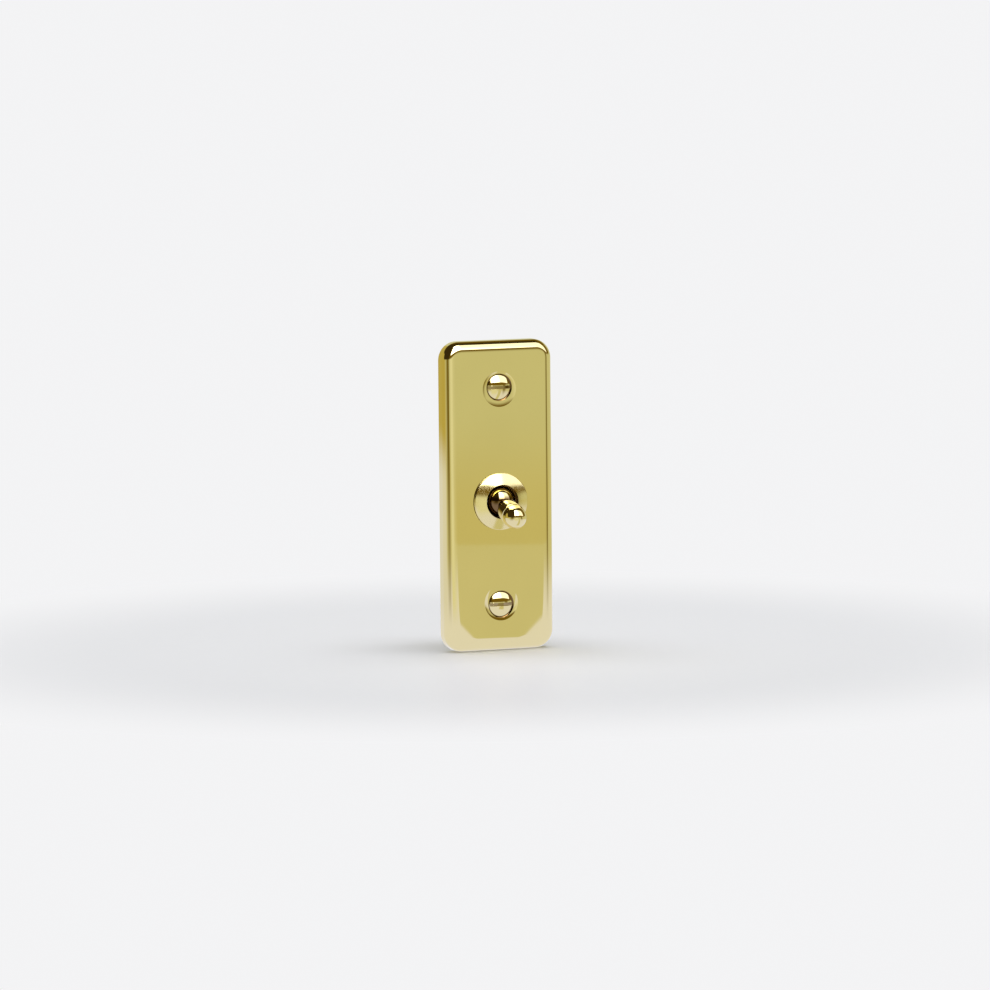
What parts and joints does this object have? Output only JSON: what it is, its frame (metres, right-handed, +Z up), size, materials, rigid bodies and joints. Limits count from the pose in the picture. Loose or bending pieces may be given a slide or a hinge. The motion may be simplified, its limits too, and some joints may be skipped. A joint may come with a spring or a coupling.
{
  "type": "toggle wall switch",
  "caption": "Narrow upright polished brass wall switch: rounded pressed plate, slotted screws, domed ring and a tilting toggle lever that rocks a see-saw contact in the case behind.",
  "frame": {"origin": "centre of the plate's rear rim, in the plane of the wall", "axes": "+X right and +Z up as seen from the front, +Y into the wall; the plate faces -Y"},
  "size_m": [0.0324, 0.0421, 0.086],
  "materials": {
    "polished_brass": "polished and lacquered",
    "machined_brass": "machined, unpolished",
    "plated_steel": "bright zinc plate",
    "spring_bronze": "rolled strip",
    "silver_contact": "satin silver",
    "white_moulding": "satin moulding",
    "nylon": "satin"
  },
  "bodies": {
    "switch_body": {"face_plate": "polished_brass", "upper_fixing_screw": "polished_brass", "lower_fixing_screw": "polished_brass", "bezel_ring": "polished_brass", "mounting_bush": "machined_brass", "lock_nut": "machined_brass", "common_terminal": "machined_brass", "upper_terminal": "machined_brass", "lower_terminal": "machined_brass", "earth_terminal": "machined_brass", "pivot_pin": "plated_steel", "lock_washer": "plated_steel", "cover_screw_1": "plated_steel", "cover_screw_2": "plated_steel", "cover_screw_3": "plated_steel", "cover_screw_4": "plated_steel", "upper_fixed_contact_tip": "silver_contact", "lower_fixed_contact_tip": "silver_contact", "switch_cover": "white_moulding", "switch_base": "white_moulding"},
    "lever": {"toggle_lever": "polished_brass", "plunger_spring": "plated_steel"},
    "plunger": {"plunger": "nylon"},
    "seesaw": {"moving_contact": "spring_bronze", "upper_moving_contact_tip": "silver_contact", "lower_moving_contact_tip": "silver_contact"},
    "upper_screw": {"upper_terminal_screw": "plated_steel"},
    "common_screw": {"common_terminal_screw": "plated_steel"},
    "lower_screw": {"lower_terminal_screw": "plated_steel"},
    "earth_screw": {"earth_terminal_screw": "plated_steel"}
  },
  "joints": [
    {"name": "lever_toggle", "type": "hinge", "parent": "switch_body", "child": "lever", "pos_m": [0, -0.0045, -0.0015], "axis": [-1, 0, 0], "range_deg": [0, 35]},
    {"name": "seesaw_rock", "type": "hinge", "parent": "switch_body", "child": "seesaw", "pos_m": [0, 0.0093, -0.0015], "axis": [1, 0, 0], "range_deg": [0, 14]},
    {"name": "plunger_travel", "type": "slide", "parent": "lever", "child": "plunger", "axis": [0, 0.9537, 0.3007], "range_m": [0, 0.0009], "stiffness_N_per_m": 100},
    {"name": "upper_terminal_screw_drive", "type": "slide", "parent": "switch_body", "child": "upper_screw", "axis": [0, -1, 0], "range_m": [0, 0.0018]},
    {"name": "common_terminal_screw_drive", "type": "slide", "parent": "switch_body", "child": "common_screw", "axis": [0, -1, 0], "range_m": [0, 0.0018]},
    {"name": "lower_terminal_screw_drive", "type": "slide", "parent": "switch_body", "child": "lower_screw", "axis": [0, -1, 0], "range_m": [0, 0.0018]},
    {"name": "earth_terminal_screw_drive", "type": "slide", "parent": "switch_body", "child": "earth_screw", "axis": [0, -1, 0], "range_m": [0, 0.0018]}
  ],
  "couplings": [
    {"joint": "seesaw_rock", "follows": "lever_toggle", "ratio": 0.4}
  ]
}
